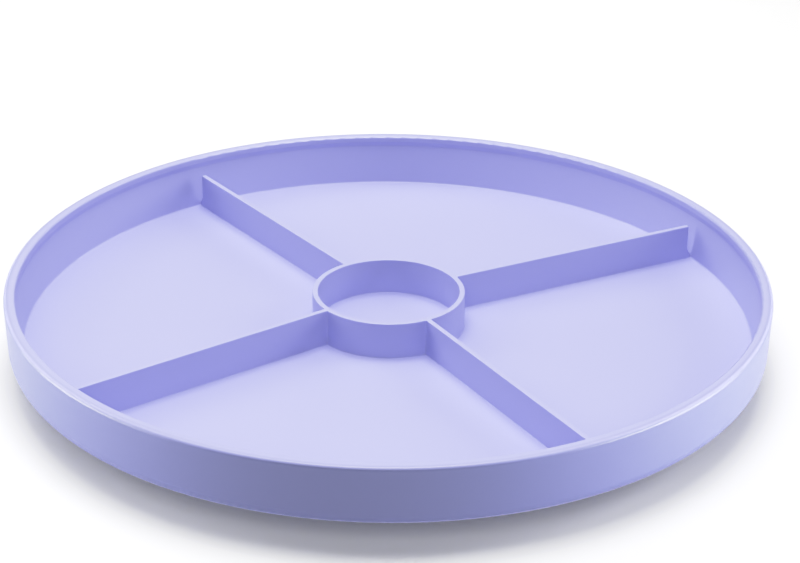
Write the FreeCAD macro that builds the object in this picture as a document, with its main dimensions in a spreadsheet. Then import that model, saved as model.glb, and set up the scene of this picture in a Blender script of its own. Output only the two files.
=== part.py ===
"""Lazy susan: a divided serving tray that turns on a low ball-bearing base.

Frame: the origin is the centre of the table plane under the feet and +Z is up.
The turning axis is Z, and one divider lies along Y. Lengths are in mm.
"""
import FreeCAD, Part
import os

import Sketcher

DIMENSIONS = (
    # Tray, from its rim down.
    ("tray_radius", 150.0, "outer radius of the tray at its rim"),
    ("tray_depth", 23.6, "rim to underside"),
    ("floor_depth", 21.8, "rim to the top of the floor"),
    ("underside_height", 12.0, "underside of the tray above the table"),
    ("rim_width", 4.5, "width of the flat rim"),
    ("rim_round", 1.3, "rounding of the rim's outer edge"),
    ("rim_inner_round", 0.8, "rounding of the rim's inner edge"),
    ("lip_drop", 4.6, "height of the lip inside the rim"),
    ("lip_face", 2.6, "height of the lip's upright face"),
    ("lip_overhang", 0.5, "how far the lip stands over the wall below it"),
    ("lip_round", 1.2, "rounding of the lip's cove"),
    ("wall_foot", 143.6, "inner radius of the wall at the floor"),
    ("foot_round", 0.8, "rounding between floor and wall"),
    ("outer_draft", 0.7, "how much narrower the tray is at the bottom"),
    ("bottom_round", 5.0, "rounding of the tray's bottom edge"),
    # Ring and dividers.
    ("divider_height", 14.8, "height of the ring and dividers"),
    ("divider_width", 2.1, "thickness of a divider"),
    ("divider_reach", 141.6, "radius at which a divider ends"),
    ("divider_angle_1", 351.4, "direction of the first divider, in degrees from X"),
    ("divider_angle_2", 90.0, "direction of the second divider"),
    ("divider_angle_3", 180.7, "direction of the third divider"),
    ("divider_angle_4", 265.2, "direction of the fourth divider"),
    ("gusset_height", 4.6, "height of the gusset between a divider's end and the wall"),
    ("gusset_width", 1.3, "thickness of a gusset"),
    ("ring_radius", 30.2, "outer radius of the ring"),
    ("ring_wall", 2.2, "thickness of the ring"),
    ("corner_round", 0.5, "upright rounding where ring and divider meet"),
    ("end_round", 0.4, "upright rounding of a divider's end"),
    ("root_round", 0.3, "rounding at the foot of ring and dividers"),
    ("crest_round", 0.35, "rounding along the top of ring and dividers"),
    # Underside of the tray.
    ("boss_radius", 7.0, "centre boss for the pivot screw"),
    ("boss_round", 1.0, "rounding at the root of the boss"),
    ("dust_radius", 99.8, "outer radius of the dust lip"),
    ("dust_width", 1.8, "thickness of the dust lip"),
    ("dust_drop", 5.0, "height of the dust lip"),
    # Base.
    ("base_radius", 95.0, "outer radius of the base"),
    ("base_lift", 1.2, "underside of the base above the table"),
    ("base_thickness", 2.2, "thickness of the base's plate"),
    ("base_rim_width", 2.0, "thickness of the base's rim"),
    ("base_rim_top", 8.6, "top of the base's rim above the table"),
    ("base_round", 1.2, "rounding of the base's bottom edge"),
    ("base_edge_round", 0.6, "rounding of the rim's top edges"),
    ("pan_inner", 20.0, "inner radius of the pan in the base's underside"),
    ("pan_outer", 58.0, "outer radius of that pan"),
    ("pan_depth", 0.8, "depth of that pan"),
    ("rib_width", 1.8, "thickness of a rib"),
    ("rib_height", 1.4, "height of a rib on the base's upper side"),
    ("rib_count", 12, "number of ribs in a ring"),
    ("hub_radius", 12.0, "outer radius of the base's hub"),
    ("hub_top", 6.0, "top of the hub above the table"),
    ("hub_web", 2.3, "thickness of the hub's web"),
    ("hub_recess", 8.0, "radius of the recess for the screw's head"),
    # Races, balls and cage.
    ("land_inner", 61.0, "inner radius of the lands that carry the races"),
    ("land_outer", 80.0, "outer radius of the lands"),
    ("land_height", 0.6, "height of the base's land"),
    ("race_inner", 62.0, "inner radius of a race"),
    ("race_outer", 79.0, "outer radius of a race"),
    ("race_thickness", 1.2, "thickness of a race"),
    ("groove_depth", 0.6, "depth of the ball groove"),
    ("groove_radius", 2.7, "radius of the ball groove's section"),
    ("race_gap", 0.05, "play between ball and groove"),
    ("ball_radius", 2.5, "radius of a ball"),
    ("pitch_radius", 67.5, "radius of the circle of balls"),
    ("ball_count", 16, "number of balls"),
    ("cage_half_width", 4.4, "half the radial width of the cage"),
    ("cage_thickness", 1.8, "thickness of the cage"),
    ("pocket_radius", 2.62, "radius of a ball's pocket"),
    # Race screws.
    ("screw_circle", 75.4, "radius of the circle of race screws"),
    ("screw_count", 6, "number of screws in a race"),
    ("screw_head", 2.1, "radius of the countersunk head"),
    ("screw_cone", 1.1, "height of the countersink"),
    ("screw_shank", 1.0, "radius of the shank"),
    ("screw_length", 3.4, "length of a screw over all"),
    ("screw_play", 0.15, "how much wider the hole in the race is"),
    ("slot_width", 0.5, "width of the slots in the head"),
    ("slot_length", 2.4, "length of the slots in the head"),
    ("slot_depth", 0.6, "depth of the slots in the head"),
    # Pivot.
    ("pivot_radius", 3.0, "radius of the pivot screw's shoulder"),
    ("pivot_play", 0.05, "running clearance round the shoulder"),
    ("pivot_thread", 2.0, "radius of the pivot screw's thread"),
    ("thread_length", 5.2, "length of that thread"),
    ("pilot_depth", 5.8, "depth of the blind hole in the boss"),
    ("pivot_head", 5.5, "radius of the pivot screw's head"),
    ("pivot_head_height", 1.7, "height of that head"),
    ("hex_flats", 4.0, "width across the flats of the hexagon socket"),
    ("hex_depth", 1.1, "depth of the hexagon socket"),
    ("bush_radius", 4.2, "outer radius of the bush"),
    ("flange_radius", 6.4, "radius of the bush's flange"),
    ("flange_height", 0.3, "thickness of that flange"),
    ("thrust_gap", 0.1, "end play between turning and fixed faces"),
    ("washer_radius", 7.2, "outer radius of the thrust washer"),
    ("washer_bore", 3.3, "radius of its hole"),
    ("washer_height", 0.5, "thickness of the thrust washer"),
    # Feet.
    ("foot_radius", 8.0, "radius of a rubber foot"),
    ("foot_circle", 84.0, "radius of the circle of feet"),
    ("foot_count", 6, "number of feet"),
    ("foot_seat", 1.2, "depth of the recess for a foot"),
    ("foot_edge", 0.5, "rounding of a foot's bottom edge"),
    ("foot_cup", 3.5, "radius of the hollow in a foot's sole"),
    ("foot_cup_depth", 0.5, "depth of that hollow"),
)

# Heights above the table that several pieces share.
RIM_TOP = "dims.underside_height + dims.tray_depth"
FLOOR_TOP = f"{RIM_TOP} - dims.floor_depth"
CREST = f"{FLOOR_TOP} + dims.divider_height"
PLATE_TOP = "dims.base_lift + dims.base_thickness"
SEAT = f"{PLATE_TOP} + dims.land_height"
LOWER_RACE_TOP = f"{SEAT} + dims.race_thickness"
BALL_CENTRE = f"{LOWER_RACE_TOP} - dims.groove_depth + dims.race_gap + dims.ball_radius"
UPPER_RACE_BOTTOM = f"{BALL_CENTRE} + dims.ball_radius + dims.race_gap - dims.groove_depth"
UPPER_RACE_TOP = f"{UPPER_RACE_BOTTOM} + dims.race_thickness"
BOSS_BOTTOM = "dims.hub_top + dims.flange_height + dims.thrust_gap"
WEB_BOTTOM = "dims.hub_top - dims.hub_web"
HEAD_TOP = f"{WEB_BOTTOM} - dims.washer_height - dims.thrust_gap"

DIVIDER_TURNS = tuple(f"dims.divider_angle_{number}" for number in range(1, 5))

FULL_TURN = 360.0
TOLERANCE = 1e-4

document = FreeCAD.newDocument("LazySusan")


def make_sheet():
    """The driving dimensions, one row each, with an alias for expressions."""
    sheet = document.addObject("Spreadsheet::Sheet", "dims")
    for row, (alias, number, meaning) in enumerate(DIMENSIONS, start=1):
        sheet.set(f"A{row}", meaning)
        sheet.set(f"B{row}", str(number))
        sheet.setAlias(f"B{row}", alias)
    document.recompute()
    return sheet


sheet = make_sheet()


def value(expression):
    """The number that an expression over the sheet gives."""
    return float(sheet.evalExpression(expression.replace("dims.", "")))


# ---------------------------------------------------------------- building blocks


def new_body(label):
    body = document.addObject("PartDesign::Body", label)
    body.Label = label
    return body


def origin_feature(body, role):
    return next(feature for feature in body.Origin.OriginFeatures if feature.Role == role)


def new_sketch(body, name, plane, across=None, up=None, turn=None):
    """A sketch on one of the body's origin planes, moved along it or off it, or turned about Z."""
    sketch = body.newObject("Sketcher::SketchObject", name)
    sketch.AttachmentSupport = [(origin_feature(body, plane), "")]
    sketch.MapMode = "FlatFace"
    if turn:
        sketch_up = FreeCAD.Vector(0, 1, 0)
        rotation = FreeCAD.Rotation(sketch_up, value(turn))
        sketch.AttachmentOffset = FreeCAD.Placement(FreeCAD.Vector(), rotation)
        sketch.setExpression("AttachmentOffset.Rotation.Angle", f"{turn} * 1 deg")
    if across:
        sketch.setExpression("AttachmentOffset.Base.x", across)
    if up:
        sketch.setExpression("AttachmentOffset.Base.z", up)
    return sketch


def pin_corner(sketch, index, kind, expression):
    """Tie one coordinate of a line's first end to the sheet."""
    if expression == "0":
        axis = -2 if kind == "DistanceX" else -1
        sketch.addConstraint(Sketcher.Constraint("PointOnObject", index, 1, axis))
        return
    number = sketch.addConstraint(Sketcher.Constraint(kind, -1, 1, index, 1, value(expression)))
    sketch.setExpression(f"Constraints[{number}]", expression)


def outline(sketch, corners):
    """A closed outline of straight edges through corners given as expressions."""
    points = [FreeCAD.Vector(value(across), value(up), 0) for across, up in corners]
    followers = points[1:] + points[:1]
    for start, end in zip(points, followers):
        sketch.addGeometry(Part.LineSegment(start, end), False)
    for index in range(len(points)):
        following = (index + 1) % len(points)
        sketch.addConstraint(Sketcher.Constraint("Coincident", index, 2, following, 1))
    for index, (across, up) in enumerate(corners):
        pin_corner(sketch, index, "DistanceX", across)
        pin_corner(sketch, index, "DistanceY", up)


def circle(sketch, across, up, radius):
    """A circle with its centre and radius tied to the sheet."""
    centre = FreeCAD.Vector(value(across), value(up), 0)
    normal = FreeCAD.Vector(0, 0, 1)
    index = sketch.addGeometry(Part.Circle(centre, normal, value(radius)), False)
    number = sketch.addConstraint(Sketcher.Constraint("Radius", index, value(radius)))
    sketch.setExpression(f"Constraints[{number}]", radius)
    for kind, expression, axis in (("DistanceX", across, -2), ("DistanceY", up, -1)):
        if expression == "0":
            sketch.addConstraint(Sketcher.Constraint("PointOnObject", index, 3, axis))
            continue
        place = Sketcher.Constraint(kind, -1, 1, index, 3, value(expression))
        number = sketch.addConstraint(place)
        sketch.setExpression(f"Constraints[{number}]", expression)


def revolve(body, sketch, name, kind="PartDesign::Revolution"):
    """Turn a section about the upright axis of its sketch."""
    feature = body.newObject(kind, name)
    feature.Profile = sketch
    feature.ReferenceAxis = (sketch, ["V_Axis"])
    feature.Angle = FULL_TURN
    return feature


def lathe(body, name, corners):
    """A turned shape from its half section: radius across, height up."""
    sketch = new_sketch(body, f"{name}_section", "XZ_Plane")
    outline(sketch, corners)
    return revolve(body, sketch, name)


def extrude(body, sketch, name, length, kind="PartDesign::Pad", downwards=False):
    """Pad or pocket a sketch by a length from the sheet, upwards unless told otherwise."""
    feature = body.newObject(kind, name)
    feature.Profile = sketch
    feature.setExpression("Length", length)
    cuts = kind == "PartDesign::Pocket"
    feature.Reversed = cuts != downwards
    return feature


def stand(body, name, turn, thickness, corners):
    """An upright plate in a plane through the axis, from its outline: radius across, height up."""
    sketch = new_sketch(body, f"{name}_profile", "XZ_Plane", turn=turn)
    outline(sketch, corners)
    plate = body.newObject("PartDesign::Pad", name)
    plate.Profile = sketch
    plate.setExpression("Length", thickness)
    plate.Midplane = True
    document.recompute()
    return plate


def repeat(body, originals, name, count):
    """Repeat features evenly round the turning axis."""
    pattern = body.newObject("PartDesign::PolarPattern", name)
    pattern.Originals = originals
    pattern.Axis = (origin_feature(body, "Z_Axis"), [""])
    pattern.Angle = FULL_TURN
    pattern.setExpression("Occurrences", f"dims.{count}")
    body.Tip = pattern
    document.recompute()
    return pattern


def round_edges(body, name, base, radius, chosen):
    """Round the edges of a feature that the test picks out."""
    document.recompute()
    names = [f"Edge{number}" for number, edge in enumerate(base.Shape.Edges, 1) if chosen(edge)]
    if not names:
        raise RuntimeError(f"{name}: no edge to round")
    fillet = body.newObject("PartDesign::Fillet", name)
    fillet.Base = (base, names)
    fillet.setExpression("Radius", radius)
    document.recompute()
    return fillet


def same(first, second):
    return abs(first - second) < TOLERANCE


def full_circle(radius, height):
    """A test for the circular edge of that radius, round Z, at that height."""
    wanted_radius = value(radius)
    wanted_height = value(height)

    def test(edge):
        curve = edge.Curve
        if not isinstance(curve, Part.Circle):
            return False
        centred = same(curve.Center.x, 0) and same(curve.Center.y, 0)
        return centred and same(curve.Radius, wanted_radius) and same(curve.Center.z, wanted_height)

    return test


def distance_from_axis(point):
    return (point.x ** 2 + point.y ** 2) ** 0.5


def upright_at(nearest, furthest):
    """A test for upright edges between two distances from the axis."""

    def test(edge):
        start, end = edge.Vertexes[0].Point, edge.Vertexes[-1].Point
        upright = same(start.x, end.x) and same(start.y, end.y) and not same(start.z, end.z)
        return upright and nearest < distance_from_axis(start) < furthest

    return test


def level_within(height, furthest):
    """A test for level edges at one height, no further from the axis than given."""
    wanted = value(height)

    def test(edge):
        box = edge.BoundBox
        level = same(box.ZMin, wanted) and same(box.ZMax, wanted)
        reach = max(distance_from_axis(vertex.Point) for vertex in edge.Vertexes)
        return level and reach < furthest

    return test


# ---------------------------------------------------------------- tray


def tray_shell(body):
    """Wall, floor, dust lip, race land and centre boss as one turned section."""
    inner_rim = "dims.tray_radius - dims.rim_width"
    return lathe(body, "tray_shell", (
        ("0", FLOOR_TOP),
        ("dims.wall_foot", FLOOR_TOP),
        (f"{inner_rim} + dims.lip_overhang", f"{RIM_TOP} - dims.lip_drop"),
        (inner_rim, f"{RIM_TOP} - dims.lip_face"),
        (inner_rim, RIM_TOP),
        ("dims.tray_radius", RIM_TOP),
        ("dims.tray_radius - dims.outer_draft", "dims.underside_height"),
        ("dims.dust_radius", "dims.underside_height"),
        ("dims.dust_radius", "dims.underside_height - dims.dust_drop"),
        ("dims.dust_radius - dims.dust_width", "dims.underside_height - dims.dust_drop"),
        ("dims.dust_radius - dims.dust_width", "dims.underside_height"),
        ("dims.land_outer", "dims.underside_height"),
        ("dims.land_outer", UPPER_RACE_TOP),
        ("dims.land_inner", UPPER_RACE_TOP),
        ("dims.land_inner", "dims.underside_height"),
        ("dims.boss_radius", "dims.underside_height"),
        ("dims.boss_radius", BOSS_BOTTOM),
        ("dims.pivot_thread", BOSS_BOTTOM),
        ("dims.pivot_thread", f"{BOSS_BOTTOM} + dims.pilot_depth"),
        ("0", f"{BOSS_BOTTOM} + dims.pilot_depth"),
    ))


def round_shell(body, shell):
    """The moulded roundings of the wall, the rim and the boss."""
    inner_rim = "dims.tray_radius - dims.rim_width"
    roundings = (
        ("rim_outer", "dims.rim_round", "dims.tray_radius", RIM_TOP),
        ("rim_inner", "dims.rim_inner_round", inner_rim, RIM_TOP),
        ("lip_lower", "dims.lip_round", f"{inner_rim} + dims.lip_overhang",
         f"{RIM_TOP} - dims.lip_drop"),
        ("lip_upper", "dims.lip_round", inner_rim, f"{RIM_TOP} - dims.lip_face"),
        ("wall_root", "dims.foot_round", "dims.wall_foot", FLOOR_TOP),
        ("bottom_edge", "dims.bottom_round", "dims.tray_radius - dims.outer_draft",
         "dims.underside_height"),
        ("boss_root", "dims.boss_round", "dims.boss_radius", "dims.underside_height"),
    )
    feature = shell
    for name, radius, distance, height in roundings:
        feature = round_edges(body, name, feature, radius, full_circle(distance, height))
    return feature


def ring_and_dividers(body):
    """The raised ring in the middle and the straight dividers round it."""
    ring = new_sketch(body, "ring_plan", "XY_Plane", up=FLOOR_TOP)
    circle(ring, "0", "0", "dims.ring_radius")
    circle(ring, "0", "0", "dims.ring_radius - dims.ring_wall")
    feature = extrude(body, ring, "ring", "dims.divider_height")
    root = "dims.ring_radius - dims.ring_wall / 2"
    for number, turn in enumerate(DIVIDER_TURNS, start=1):
        feature = stand(body, f"divider_{number}", turn, "dims.divider_width", (
            (root, FLOOR_TOP),
            ("dims.divider_reach", FLOOR_TOP),
            ("dims.divider_reach", CREST),
            (root, CREST),
        ))
    return feature


def round_ring_and_dividers(body, dividers):
    """Upright roundings first, then the feet, then the crests."""
    ring = value("dims.ring_radius")
    reach = value("dims.divider_reach")
    margin = 1.0
    feature = round_edges(body, "ring_corners", dividers, "dims.corner_round",
                          upright_at(ring - margin, ring + margin))
    feature = round_edges(body, "divider_ends", feature, "dims.end_round",
                          upright_at(reach - margin, reach + margin))
    feature = round_edges(body, "roots", feature, "dims.root_round",
                          level_within(FLOOR_TOP, reach + margin))
    return round_edges(body, "crests", feature, "dims.crest_round",
                       level_within(CREST, reach + margin))


def gussets(body):
    """Low sloping webs that tie the foot of each divider's end to the wall."""
    overlap = "0.5"
    for number, turn in enumerate(DIVIDER_TURNS, start=1):
        stand(body, f"gusset_{number}", turn, "dims.gusset_width", (
            (f"dims.divider_reach - {overlap}", f"{FLOOR_TOP} - {overlap}"),
            (f"dims.wall_foot + {overlap}", f"{FLOOR_TOP} - {overlap}"),
            (f"dims.wall_foot + {overlap}", FLOOR_TOP),
            ("dims.divider_reach", f"{FLOOR_TOP} + dims.gusset_height"),
            (f"dims.divider_reach - {overlap}", f"{FLOOR_TOP} + dims.gusset_height"),
        ))


def screw_holes(body, name, height, depth, downwards):
    """Blind pilot holes for the race screws."""
    plan = new_sketch(body, f"{name}_plan", "XY_Plane", up=height)
    half_step = f"{FULL_TURN / 2} deg / dims.screw_count"
    circle(plan, f"dims.screw_circle * cos({half_step})", f"dims.screw_circle * sin({half_step})",
           "dims.screw_shank")
    hole = extrude(body, plan, name, depth, "PartDesign::Pocket", downwards)
    return repeat(body, [hole], f"{name}_pattern", "screw_count")


def divided_tray():
    body = new_body("divided_tray")
    round_shell(body, tray_shell(body))
    round_ring_and_dividers(body, ring_and_dividers(body))
    gussets(body)
    screw_holes(body, "race_pilot", UPPER_RACE_TOP,
                "dims.screw_length - dims.race_thickness + dims.screw_play", False)
    return body


# ---------------------------------------------------------------- base


def base_shell(body):
    """Hub, plate, race land and rim as one turned section."""
    pan_top = "dims.base_lift + dims.pan_depth"
    inner_rim = "dims.base_radius - dims.base_rim_width"
    return lathe(body, "base_shell", (
        ("dims.bush_radius", WEB_BOTTOM),
        ("dims.hub_recess", WEB_BOTTOM),
        ("dims.hub_recess", "dims.base_lift"),
        ("dims.pan_inner", "dims.base_lift"),
        ("dims.pan_inner", pan_top),
        ("dims.pan_outer", pan_top),
        ("dims.pan_outer", "dims.base_lift"),
        ("dims.base_radius", "dims.base_lift"),
        ("dims.base_radius", "dims.base_rim_top"),
        (inner_rim, "dims.base_rim_top"),
        (inner_rim, PLATE_TOP),
        ("dims.land_outer", PLATE_TOP),
        ("dims.land_outer", SEAT),
        ("dims.land_inner", SEAT),
        ("dims.land_inner", PLATE_TOP),
        ("dims.hub_radius", PLATE_TOP),
        ("dims.hub_radius", "dims.hub_top"),
        ("dims.bush_radius", "dims.hub_top"),
    ))


def ribs(body, name, inner, outer, height, length):
    """A ring of straight radial ribs standing up from one height."""
    overlap = "0.5"
    plan = new_sketch(body, f"{name}_plan", "XY_Plane", up=height)
    outline(plan, (
        (f"{inner} - {overlap}", "-dims.rib_width / 2"),
        (f"{outer} + {overlap}", "-dims.rib_width / 2"),
        (f"{outer} + {overlap}", "dims.rib_width / 2"),
        (f"{inner} - {overlap}", "dims.rib_width / 2"),
    ))
    rib = extrude(body, plan, name, length)
    return repeat(body, [rib], f"{name}_ring", "rib_count")


def foot_seats(body):
    """Round recesses in the underside for the rubber feet."""
    plan = new_sketch(body, "foot_seat_plan", "XY_Plane", up="dims.base_lift")
    circle(plan, "dims.foot_circle", "0", "dims.foot_radius")
    seat = extrude(body, plan, "foot_seat", "dims.foot_seat", "PartDesign::Pocket")
    return repeat(body, [seat], "foot_seats", "foot_count")


def base_plate():
    body = new_body("base_plate")
    feature = base_shell(body)
    inner_rim = "dims.base_radius - dims.base_rim_width"
    feature = round_edges(body, "base_edge", feature, "dims.base_round",
                          full_circle("dims.base_radius", "dims.base_lift"))
    for name, distance in (("rim_outside", "dims.base_radius"), ("rim_inside", inner_rim)):
        feature = round_edges(body, name, feature, "dims.base_edge_round",
                              full_circle(distance, "dims.base_rim_top"))
    ribs(body, "inner_rib", "dims.hub_radius", "dims.land_inner", PLATE_TOP, "dims.rib_height")
    ribs(body, "outer_rib", "dims.land_outer", inner_rim, PLATE_TOP, "dims.rib_height")
    ribs(body, "pan_rib", "dims.pan_inner", "dims.pan_outer", "dims.base_lift", "dims.pan_depth")
    foot_seats(body)
    screw_holes(body, "seat_pilot", SEAT,
                "dims.screw_length - dims.race_thickness + dims.screw_play", True)
    return body


def non_slip_foot(number):
    """A rubber disc with a rounded edge and a shallow hollow in its sole."""
    label = f"non_slip_foot_{number}"
    body = new_body(label)
    turn = f"{number - 1} * {FULL_TURN} deg / dims.foot_count"
    body.setExpression("Placement.Base.x", f"dims.foot_circle * cos({turn})")
    body.setExpression("Placement.Base.y", f"dims.foot_circle * sin({turn})")
    sole = lathe(body, f"sole_{number}", (
        ("0", "dims.foot_cup_depth"),
        ("dims.foot_cup", "dims.foot_cup_depth"),
        ("dims.foot_cup", "0"),
        ("dims.foot_radius", "0"),
        ("dims.foot_radius", "dims.base_lift + dims.foot_seat"),
        ("0", "dims.base_lift + dims.foot_seat"),
    ))
    round_edges(body, f"sole_edge_{number}", sole, "dims.foot_edge",
                full_circle("dims.foot_radius", "0"))
    return body


# ---------------------------------------------------------------- bearing


def race(label, bottom, groove_centre, screw_side):
    """A steel ring with a ball groove on one face and countersunk holes."""
    body = new_body(label)
    top = f"{bottom} + dims.race_thickness"
    lathe(body, f"{label}_ring", (
        ("dims.race_inner", bottom),
        ("dims.race_outer", bottom),
        ("dims.race_outer", top),
        ("dims.race_inner", top),
    ))
    section = new_sketch(body, f"{label}_groove_section", "XZ_Plane")
    circle(section, "dims.pitch_radius", groove_centre, "dims.groove_radius")
    revolve(body, section, f"{label}_groove", "PartDesign::Groove")
    hole = race_screw_profile(body, label, screw_side, "dims.screw_play")
    repeat(body, [hole], f"{label}_holes", "screw_count")
    return body


def race_screw_profile(body, label, face, play):
    """One countersunk screw, or with play the hole for it.

    The head's flat side lies on the given face, and the shank points away from the balls.
    """
    upwards = face == UPPER_RACE_BOTTOM
    sign = "+" if upwards else "-"
    cuts = play != "0"
    half_step = f"{FULL_TURN / 2} deg / dims.screw_count"
    section = new_sketch(body, f"{label}_screw_section", "XZ_Plane", across="dims.screw_circle")
    section.setExpression("AttachmentOffset.Base.x", f"dims.screw_circle * cos({half_step})")
    section.setExpression("AttachmentOffset.Base.z", f"-dims.screw_circle * sin({half_step})")
    shank_end = "dims.race_thickness" if cuts else "dims.screw_length"
    shank = f"dims.screw_shank + {play}"
    outline(section, (
        ("0", face),
        (f"dims.screw_head + {play}", face),
        (shank, f"{face} {sign} dims.screw_cone"),
        (shank, f"{face} {sign} {shank_end}"),
        ("0", f"{face} {sign} {shank_end}"),
    ))
    kind = "PartDesign::Groove" if cuts else "PartDesign::Revolution"
    return revolve(body, section, f"{label}_screw", kind)


def race_screws(label, face):
    """The screws of one race, each with a cross slot in its head."""
    body = new_body(label)
    body.AllowCompound = True
    screw = race_screw_profile(body, label, face, "0")
    half_step = f"{FULL_TURN / 2} deg / dims.screw_count"
    middle = (f"dims.screw_circle * cos({half_step})", f"dims.screw_circle * sin({half_step})")
    slots = []
    for name, across, along in (("slot", "dims.slot_length", "dims.slot_width"),
                                ("cross_slot", "dims.slot_width", "dims.slot_length")):
        plan = new_sketch(body, f"{label}_{name}_plan", "XY_Plane", up=face)
        outline(plan, (
            (f"{middle[0]} - {across} / 2", f"{middle[1]} - {along} / 2"),
            (f"{middle[0]} + {across} / 2", f"{middle[1]} - {along} / 2"),
            (f"{middle[0]} + {across} / 2", f"{middle[1]} + {along} / 2"),
            (f"{middle[0]} - {across} / 2", f"{middle[1]} + {along} / 2"),
        ))
        slots.append(extrude(body, plan, f"{label}_{name}", "dims.slot_depth",
                             "PartDesign::Pocket", face != UPPER_RACE_BOTTOM))
    repeat(body, [screw] + slots, f"{label}_ring", "screw_count")
    return body


def ball_cage():
    """A flat ring with a spherical pocket for each ball."""
    body = new_body("ball_cage")
    bottom = f"{BALL_CENTRE} - dims.cage_thickness / 2"
    top = f"{BALL_CENTRE} + dims.cage_thickness / 2"
    lathe(body, "cage_ring", (
        ("dims.pitch_radius - dims.cage_half_width", bottom),
        ("dims.pitch_radius + dims.cage_half_width", bottom),
        ("dims.pitch_radius + dims.cage_half_width", top),
        ("dims.pitch_radius - dims.cage_half_width", top),
    ))
    pocket = body.newObject("PartDesign::SubtractiveSphere", "pocket")
    pocket.AttachmentSupport = [(origin_feature(body, "XY_Plane"), "")]
    pocket.MapMode = "FlatFace"
    pocket.setExpression("Radius", "dims.pocket_radius")
    pocket.setExpression("AttachmentOffset.Base.x", "dims.pitch_radius")
    pocket.setExpression("AttachmentOffset.Base.z", BALL_CENTRE)
    repeat(body, [pocket], "pockets", "ball_count")
    return body


def bearing_ball(number):
    label = f"bearing_ball_{number:02d}"
    ball = document.addObject("Part::Sphere", label)
    ball.Label = label
    turn = f"{number - 1} * {FULL_TURN} deg / dims.ball_count"
    ball.setExpression("Radius", "dims.ball_radius")
    ball.setExpression("Placement.Base.x", f"dims.pitch_radius * cos({turn})")
    ball.setExpression("Placement.Base.y", f"dims.pitch_radius * sin({turn})")
    ball.setExpression("Placement.Base.z", BALL_CENTRE)
    return ball


# ---------------------------------------------------------------- pivot


def hub_bush():
    """A flanged sleeve in the hub, which the pivot screw's shoulder turns in."""
    body = new_body("hub_bush")
    bore = "dims.pivot_radius + dims.pivot_play"
    flange_top = "dims.hub_top + dims.flange_height"
    lathe(body, "bush_sleeve", (
        (bore, WEB_BOTTOM),
        ("dims.bush_radius", WEB_BOTTOM),
        ("dims.bush_radius", "dims.hub_top"),
        ("dims.flange_radius", "dims.hub_top"),
        ("dims.flange_radius", flange_top),
        (bore, flange_top),
    ))
    return body


def thrust_washer():
    body = new_body("thrust_washer")
    bottom = f"{WEB_BOTTOM} - dims.washer_height"
    lathe(body, "washer_ring", (
        ("dims.washer_bore", bottom),
        ("dims.washer_radius", bottom),
        ("dims.washer_radius", WEB_BOTTOM),
        ("dims.washer_bore", WEB_BOTTOM),
    ))
    return body


def hexagon(sketch, flats):
    """A regular hexagon round the sketch's origin."""
    half_flats = f"{flats} / 2"
    half_side = f"{flats} / 2 * tan(30 deg)"
    corner = f"{flats} / 2 / cos(30 deg)"
    outline(sketch, (
        (corner, "0"),
        (half_side, half_flats),
        (f"-{half_side}", half_flats),
        (f"-{corner}", "0"),
        (f"-{half_side}", f"-{half_flats}"),
        (half_side, f"-{half_flats}"),
    ))


def pivot_screw():
    """A shoulder screw: head below the base, shoulder in the bush, thread in the tray's boss."""
    body = new_body("pivot_screw")
    head_bottom = f"{HEAD_TOP} - dims.pivot_head_height"
    thread_top = f"{BOSS_BOTTOM} + dims.thread_length"
    lathe(body, "screw_blank", (
        ("0", head_bottom),
        ("dims.pivot_head", head_bottom),
        ("dims.pivot_head", HEAD_TOP),
        ("dims.pivot_radius", HEAD_TOP),
        ("dims.pivot_radius", BOSS_BOTTOM),
        ("dims.pivot_thread", BOSS_BOTTOM),
        ("dims.pivot_thread", thread_top),
        ("0", thread_top),
    ))
    plan = new_sketch(body, "hex_plan", "XY_Plane", up=head_bottom)
    hexagon(plan, "dims.hex_flats")
    extrude(body, plan, "hex_socket", "dims.hex_depth", "PartDesign::Pocket")
    return body


# ---------------------------------------------------------------- assembly


def build_all():
    lower_groove = f"{LOWER_RACE_TOP} - dims.groove_depth + dims.groove_radius"
    upper_groove = f"{UPPER_RACE_BOTTOM} + dims.groove_depth - dims.groove_radius"
    pieces = [
        divided_tray(),
        base_plate(),
        race("lower_race", SEAT, lower_groove, LOWER_RACE_TOP),
        race("upper_race", UPPER_RACE_BOTTOM, upper_groove, UPPER_RACE_BOTTOM),
        race_screws("lower_race_screws", LOWER_RACE_TOP),
        race_screws("upper_race_screws", UPPER_RACE_BOTTOM),
        ball_cage(),
        hub_bush(),
        thrust_washer(),
        pivot_screw(),
    ]
    pieces += [non_slip_foot(number) for number in range(1, int(value("dims.foot_count")) + 1)]
    pieces += [bearing_ball(number) for number in range(1, int(value("dims.ball_count")) + 1)]
    return pieces


def check_states():
    """Stop if any object of the document failed to compute."""
    for item in document.Objects:
        if "Invalid" in item.State or "Error" in item.State:
            raise RuntimeError(f"{item.Name}: {item.State}")


def check_piece(piece):
    shape = piece.Shape
    if shape.isNull() or not shape.isValid() or shape.Volume <= 0:
        raise RuntimeError(f"{piece.Label}: bad shape")
    box = shape.BoundBox
    print(f"{piece.Label:20s} solids {len(shape.Solids):2d}  volume {shape.Volume:10.1f} mm3"
          f"  z {box.ZMin:6.2f} to {box.ZMax:6.2f}")


def main():
    pieces = build_all()
    document.recompute()
    check_states()
    for piece in pieces:
        check_piece(piece)
    os.makedirs("parts", exist_ok=True)
    for piece in pieces:
        piece.Shape.exportStep(f"parts/{piece.Label}.step")


main()
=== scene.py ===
"""Looks for the lazy susan: materials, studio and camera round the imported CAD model.

Everything is in metres in the CAD frame: the table is z = 0 and the turning axis is Z.
"""

import math

import bpy
from mathutils import Matrix, Vector


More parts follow.
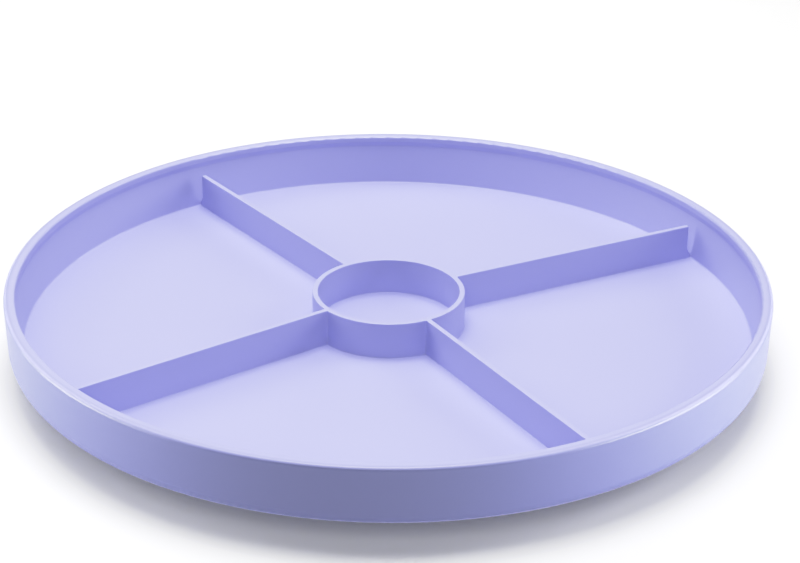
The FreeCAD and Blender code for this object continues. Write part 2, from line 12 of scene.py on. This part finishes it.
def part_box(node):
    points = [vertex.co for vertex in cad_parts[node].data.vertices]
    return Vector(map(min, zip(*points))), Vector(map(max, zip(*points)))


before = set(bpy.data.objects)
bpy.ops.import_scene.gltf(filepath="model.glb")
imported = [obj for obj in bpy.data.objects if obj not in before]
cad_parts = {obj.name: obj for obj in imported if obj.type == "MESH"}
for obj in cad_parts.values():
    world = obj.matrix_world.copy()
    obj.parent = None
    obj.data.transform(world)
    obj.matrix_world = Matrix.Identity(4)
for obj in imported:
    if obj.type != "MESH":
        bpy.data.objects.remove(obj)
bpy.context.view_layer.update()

# ---------------------------------------------------------------- places from the frame

TRAY_LOW, TRAY_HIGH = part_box("divided_tray")
TRAY_RADIUS = (TRAY_HIGH.x - TRAY_LOW.x) / 2
RIM_CENTRE = Vector((0, 0, TRAY_HIGH.z))

# Camera: distance in tray radii, angles in degrees. Lights take their azimuth from it too.
CAMERA_AZIMUTH = -35.6
CAMERA_ELEVATION = 25.47
CAMERA_DISTANCE = 5.63
CAMERA_PAN = 0.30
CAMERA_TILT = 0.20
CAMERA_ROLL = 0.40
CAMERA_LENS_MM = 96.4
SENSOR_MM = 36.0
NEAREST_SEEN = 0.01
FURTHEST_SEEN = 50.0

# Tone curve, scene linear in and out. Blender's combined curve is the fourth.
TONE_POINTS = ((0.0, 0.0), (0.35, 0.35), (0.70, 0.70), (1.0, 0.86), (1.15, 0.96), (1.25, 1.0))
COMBINED_CURVE = 3

# Colours, scene linear.
PERIWINKLE = (0.412, 0.417, 0.752)
PERIWINKLE_FAINT = (0.424, 0.428, 0.759)
# The next two colours are painted shade: a dark colour put on the tray's outer wall and underside in
# place of the shade that falls there.
DEEP_TONE_AND_PAINTED_SHADE = (0.104, 0.112, 0.256)
PAINTED_SHADE_FAINT = (0.109, 0.117, 0.264)
BASE_PERIWINKLE = (0.330, 0.340, 0.660)
NATURAL_ACETAL = (0.78, 0.78, 0.74)
NATURAL_ACETAL_FAINT = (0.70, 0.70, 0.66)
RACE_STEEL = (0.66, 0.67, 0.68)
SCREW_STEEL = (0.58, 0.59, 0.61)
BALL_STEEL = (0.78, 0.79, 0.80)
FOOT_RUBBER = (0.07, 0.07, 0.075)
TABLE_WHITE = (0.98, 0.98, 0.98)

# Finish of the materials. Scales are in features per metre, depths in metres.
PLASTIC_IOR = 1.49
FLOW_SCALE = 9.0
GLOSS_PATCH_SCALE = 55.0
STAIN_SCALE = 120.0
STAIN_SHADE = 0.82
DUST_SCALE = 260.0
DUST_TINT = 1.5
RUBBER_GRAIN_SCALE = 1400.0
RUBBER_GRAIN_DEPTH = 0.00005
TURNING_MARK_DEPTH = 0.00002

# Limits of the painted shade on the outside of the tray, and the width of the blends at them, in
# metres.
SKIRT_RADIUS = TRAY_RADIUS - 0.0019
SKIRT_TOP = TRAY_HIGH.z - 0.0003
SKIRT_BOTTOM = TRAY_HIGH.z - 0.0220
SKIRT_BLEND = 0.0007


# ---------------------------------------------------------------- node helpers


def new_material(name):
    material = bpy.data.materials.new(name)
    material.use_nodes = True
    nodes = material.node_tree.nodes
    nodes.clear()
    output = nodes.new("ShaderNodeOutputMaterial")
    shader = nodes.new("ShaderNodeBsdfPrincipled")
    material.node_tree.links.new(shader.outputs["BSDF"], output.inputs["Surface"])
    return material, shader


def link(material, source, target):
    material.node_tree.links.new(source, target)


def object_point(material):
    """The point in the piece's own space, which is the frame's space at rest."""
    return material.node_tree.nodes.new("ShaderNodeTexCoord").outputs["Object"]


def noise(material, scale, detail=3.0, roughness=0.55, point=None):
    texture = material.node_tree.nodes.new("ShaderNodeTexNoise")
    texture.inputs["Scale"].default_value = scale
    texture.inputs["Detail"].default_value = detail
    texture.inputs["Roughness"].default_value = roughness
    link(material, point or object_point(material), texture.inputs["Vector"])
    return texture.outputs["Fac"]


def spread(material, value, low, high):
    """Map 0..1 to low..high."""
    node = material.node_tree.nodes.new("ShaderNodeMapRange")
    node.inputs["To Min"].default_value = low
    node.inputs["To Max"].default_value = high
    link(material, value, node.inputs["Value"])
    return node.outputs["Result"]


def blend_colours(material, factor, first, second):
    """Mix two colours, each a fixed colour or the output of another node."""
    node = material.node_tree.nodes.new("ShaderNodeMix")
    node.data_type = "RGBA"
    sockets = {socket.identifier: socket for socket in node.inputs}
    for identifier, colour in (("A_Color", first), ("B_Color", second)):
        if isinstance(colour, tuple):
            sockets[identifier].default_value = (*colour, 1.0)
        else:
            link(material, colour, sockets[identifier])
    link(material, factor, sockets["Factor_Float"])
    results = {socket.identifier: socket for socket in node.outputs}
    return results["Result_Color"]


def ramp(material, value, start, end):
    """0 at start, 1 at end, smooth between."""
    node = material.node_tree.nodes.new("ShaderNodeMapRange")
    node.interpolation_type = "SMOOTHSTEP"
    node.inputs["From Min"].default_value = start
    node.inputs["From Max"].default_value = end
    link(material, value, node.inputs["Value"])
    return node.outputs["Result"]


def combine(material, operation, first, second):
    node = material.node_tree.nodes.new("ShaderNodeMath")
    node.operation = operation
    link(material, first, node.inputs[0])
    link(material, second, node.inputs[1])
    return node.outputs["Value"]


def bump(material, shader, height, distance, strength=1.0):
    node = material.node_tree.nodes.new("ShaderNodeBump")
    node.inputs["Strength"].default_value = strength
    node.inputs["Distance"].default_value = distance
    link(material, height, node.inputs["Height"])
    link(material, node.outputs["Normal"], shader.inputs["Normal"])


# ---------------------------------------------------------------- materials


def moulded_finish(material, shader, roughness, grain_scale, grain_depth):
    """The surface of injection-moulded plastic: patchy gloss and a fine spark-eroded grain."""
    patches = noise(material, GLOSS_PATCH_SCALE, detail=4.0)
    link(material, spread(material, patches, roughness - 0.04, roughness + 0.05),
         shader.inputs["Roughness"])
    grain = noise(material, grain_scale, detail=2.0, roughness=0.6)
    bump(material, shader, grain, grain_depth, strength=0.5)
    shader.inputs["IOR"].default_value = PLASTIC_IOR
    shader.inputs["Specular IOR Level"].default_value = 0.5


def moulded_plastic(name, first, second, roughness, grain_scale, grain_depth):
    """Satin moulded plastic with a faint variation of colour along its flow."""
    material, shader = new_material(name)
    flow = noise(material, FLOW_SCALE, detail=2.0)
    link(material, blend_colours(material, flow, first, second), shader.inputs["Base Color"])
    moulded_finish(material, shader, roughness, grain_scale, grain_depth)
    return material


def painted_shade_region(material):
    """Where the painted shade goes: 1 on the outer wall and the underside, 0 on the rim and
    everything inside it.
    """
    axes = material.node_tree.nodes.new("ShaderNodeSeparateXYZ")
    link(material, object_point(material), axes.inputs["Vector"])
    squares = [combine(material, "MULTIPLY", axes.outputs[axis], axes.outputs[axis])
               for axis in ("X", "Y")]
    total = combine(material, "ADD", *squares)
    half = material.node_tree.nodes.new("ShaderNodeValue")
    half.outputs["Value"].default_value = 0.5
    distance = combine(material, "POWER", total, half.outputs["Value"])
    far_out = ramp(material, distance, SKIRT_RADIUS - SKIRT_BLEND, SKIRT_RADIUS + SKIRT_BLEND)
    below_rim = ramp(material, axes.outputs["Z"], SKIRT_TOP + SKIRT_BLEND, SKIRT_TOP - SKIRT_BLEND)
    below_floor = ramp(material, axes.outputs["Z"], SKIRT_BOTTOM, SKIRT_BOTTOM - SKIRT_BLEND)
    return combine(material, "MAXIMUM", combine(material, "MULTIPLY", far_out, below_rim),
                   below_floor)


def tray_plastic():
    """Pale satin inside, and painted shade, a much darker colour, on the outer wall and the
    underside.
    """
    material, shader = new_material("tray_satin_plastic")
    flow = noise(material, FLOW_SCALE, detail=2.0)
    inside = blend_colours(material, flow, PERIWINKLE, PERIWINKLE_FAINT)
    painted_skirt_shade = blend_colours(material, flow, DEEP_TONE_AND_PAINTED_SHADE, PAINTED_SHADE_FAINT)
    tone = blend_colours(material, painted_shade_region(material), inside, painted_skirt_shade)
    link(material, tone, shader.inputs["Base Color"])
    moulded_finish(material, shader, roughness=0.42, grain_scale=1800.0, grain_depth=0.00002)
    return material


def steel(name, tint, roughness, ring_scale):
    """Turned steel: fine rings round the turning axis."""
    material, shader = new_material(name)
    point = object_point(material)
    across = material.node_tree.nodes.new("ShaderNodeTexWave")
    across.wave_type = "RINGS"
    across.rings_direction = "Z"
    across.inputs["Scale"].default_value = ring_scale
    across.inputs["Distortion"].default_value = 0.6
    across.inputs["Detail"].default_value = 2.0
    link(material, point, across.inputs["Vector"])
    link(material, spread(material, across.outputs["Fac"], roughness - 0.05, roughness + 0.10),
         shader.inputs["Roughness"])
    stain = noise(material, STAIN_SCALE, detail=4.0)
    darker = tuple(channel * STAIN_SHADE for channel in tint)
    link(material, blend_colours(material, stain, darker, tint), shader.inputs["Base Color"])
    shader.inputs["Metallic"].default_value = 1.0
    bump(material, shader, across.outputs["Fac"], TURNING_MARK_DEPTH, strength=0.4)
    return material


def rubber(name, tint):
    """Matte rubber with a fine grain and a little dust."""
    material, shader = new_material(name)
    dust = noise(material, DUST_SCALE, detail=5.0)
    dusty = tuple(channel * DUST_TINT for channel in tint)
    link(material, blend_colours(material, dust, tint, dusty), shader.inputs["Base Color"])
    link(material, spread(material, dust, 0.72, 0.9), shader.inputs["Roughness"])
    grain = noise(material, RUBBER_GRAIN_SCALE)
    bump(material, shader, grain, RUBBER_GRAIN_DEPTH, strength=0.6)
    return material


def paint(names, material):
    for name in names:
        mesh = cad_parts[name].data
        mesh.materials.clear()
        mesh.materials.append(material)


def paint_everything():
    names = sorted(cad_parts)
    balls = [name for name in names if name.startswith("bearing_ball")]
    feet = [name for name in names if name.startswith("non_slip_foot")]
    tray = tray_plastic()
    # The base plate's flow blends towards the same dark colour as its own darker tone; on the tray
    # that colour is painted shade.
    base = moulded_plastic("base_grained_plastic", BASE_PERIWINKLE, DEEP_TONE_AND_PAINTED_SHADE, roughness=0.5,
                           grain_scale=1300.0, grain_depth=0.00004)
    acetal = moulded_plastic("natural_acetal", NATURAL_ACETAL, NATURAL_ACETAL_FAINT, roughness=0.38,
                             grain_scale=1500.0, grain_depth=0.00002)
    race = steel("turned_race_steel", RACE_STEEL, roughness=0.28, ring_scale=180.0)
    screw = steel("plated_screw_steel", SCREW_STEEL, roughness=0.34, ring_scale=400.0)
    ball = steel("polished_ball_steel", BALL_STEEL, roughness=0.12, ring_scale=60.0)
    paint(["divided_tray"], tray)
    paint(["base_plate"], base)
    paint(["ball_cage", "hub_bush", "thrust_washer"], acetal)
    paint(["lower_race", "upper_race"], race)
    paint(["lower_race_screws", "upper_race_screws", "pivot_screw"], screw)
    paint(balls, ball)
    paint(feet, rubber("foot_rubber", FOOT_RUBBER))


# ---------------------------------------------------------------- studio

TABLE_SIZE = 8.0


def make_floor():
    """A white table, big enough that its edge is never in view."""
    bpy.ops.mesh.primitive_plane_add(size=TABLE_SIZE, location=(0, 0, 0))
    floor = bpy.context.object
    floor.name = "studio_floor"
    material, shader = new_material("studio_white")
    shader.inputs["Base Color"].default_value = (*TABLE_WHITE, 1)
    shader.inputs["Roughness"].default_value = 0.6
    shader.inputs["Specular IOR Level"].default_value = 0.2
    floor.data.materials.append(material)


def direction(azimuth, elevation):
    a, e = math.radians(azimuth), math.radians(elevation)
    return Vector((math.sin(a) * math.cos(e), -math.cos(a) * math.cos(e), math.sin(e)))


def softbox(name, turn, elevation, distance, width, height, watts):
    """An area light that looks at the middle of the tray, turned from the camera's azimuth."""
    data = bpy.data.lights.new(name, "AREA")
    data.shape = "RECTANGLE"
    data.size = width
    data.size_y = height
    data.energy = watts
    light = bpy.data.objects.new(name, data)
    towards = direction(CAMERA_AZIMUTH + turn, elevation)
    light.location = RIM_CENTRE + towards * distance
    light.rotation_mode = "QUATERNION"
    light.rotation_quaternion = (-towards).to_track_quat("-Z", "Y")
    bpy.context.scene.collection.objects.link(light)


def table_spot(name, turn, reach, height, angle, watts):
    """A soft round light from straight above onto the table, mostly clear of the tray."""
    data = bpy.data.lights.new(name, "SPOT")
    data.spot_size = math.radians(angle)
    data.spot_blend = 0.9
    data.shadow_soft_size = 0.12
    data.energy = watts
    light = bpy.data.objects.new(name, data)
    light.location = direction(CAMERA_AZIMUTH + turn, 0) * reach + Vector((0, 0, height))
    bpy.context.scene.collection.objects.link(light)


def make_world(radiance):
    world = bpy.data.worlds.new("studio_air")
    world.use_nodes = True
    background = world.node_tree.nodes["Background"]
    background.inputs["Color"].default_value = (1, 1, 1, 1)
    background.inputs["Strength"].default_value = radiance
    bpy.context.scene.world = world


def make_lights():
    """Light mostly from above and the sides, low strips beside the tray, and a weak front fill."""
    make_world(0.02)
    softbox("top_softbox", turn=0, elevation=90, distance=1.3, width=0.8, height=0.8, watts=11.0)
    softbox("top_spot_softbox", turn=0, elevation=90, distance=1.3, width=0.3, height=0.3, watts=4.2)
    softbox("back_softbox", turn=180, elevation=78, distance=1.3, width=1.0, height=0.5, watts=3.5)
    softbox("back_left_softbox", turn=-130, elevation=45, distance=1.3, width=0.9, height=0.9,
            watts=5.3)
    softbox("left_softbox", turn=-98, elevation=22, distance=1.4, width=0.4, height=0.7, watts=5.6)
    softbox("right_softbox", turn=98, elevation=22, distance=1.4, width=0.4, height=0.7, watts=7.8)
    softbox("left_strip", turn=-80, elevation=-1.9, distance=0.55, width=0.4, height=0.034,
            watts=3.6)
    softbox("right_strip", turn=72, elevation=-1.9, distance=0.55, width=0.4, height=0.034,
            watts=5.0)
    softbox("front_fill", turn=0, elevation=35, distance=1.3, width=1.2, height=0.6, watts=5.4)
    table_spot("table_spot", turn=180, reach=0.46, height=1.3, angle=26, watts=22.0)


def set_tones():
    """A soft shoulder: highlights roll off, and the table still reaches white."""
    settings = bpy.context.scene.view_settings
    settings.view_transform = "Standard"
    settings.use_curve_mapping = True
    mapping = settings.curve_mapping
    mapping.use_clip = False
    mapping.white_level = (1.0, 1.0, 1.0)
    curve = mapping.curves[COMBINED_CURVE]
    curve.points[0].location = TONE_POINTS[0]
    curve.points[1].location = TONE_POINTS[-1]
    for place in TONE_POINTS[1:-1]:
        curve.points.new(*place)
    mapping.update()


def make_camera():
    """A long lens looking down at the tray, aimed a little off its centre."""
    data = bpy.data.cameras.new("camera")
    data.lens = CAMERA_LENS_MM
    data.sensor_width = SENSOR_MM
    data.clip_start = NEAREST_SEEN
    data.clip_end = FURTHEST_SEEN
    camera = bpy.data.objects.new("camera", data)
    back = direction(CAMERA_AZIMUTH, CAMERA_ELEVATION)
    place = Matrix.Translation(RIM_CENTRE + back * CAMERA_DISTANCE * TRAY_RADIUS)
    aim = (-back).to_track_quat("-Z", "Y").to_matrix().to_4x4()
    pan = Matrix.Rotation(math.radians(-CAMERA_PAN), 4, "Y")
    tilt = Matrix.Rotation(math.radians(-CAMERA_TILT), 4, "X")
    roll = Matrix.Rotation(math.radians(CAMERA_ROLL), 4, "Z")
    camera.matrix_world = place @ aim @ pan @ tilt @ roll
    bpy.context.scene.collection.objects.link(camera)
    bpy.context.scene.camera = camera


make_camera()
paint_everything()
make_floor()
make_lights()
set_tones()
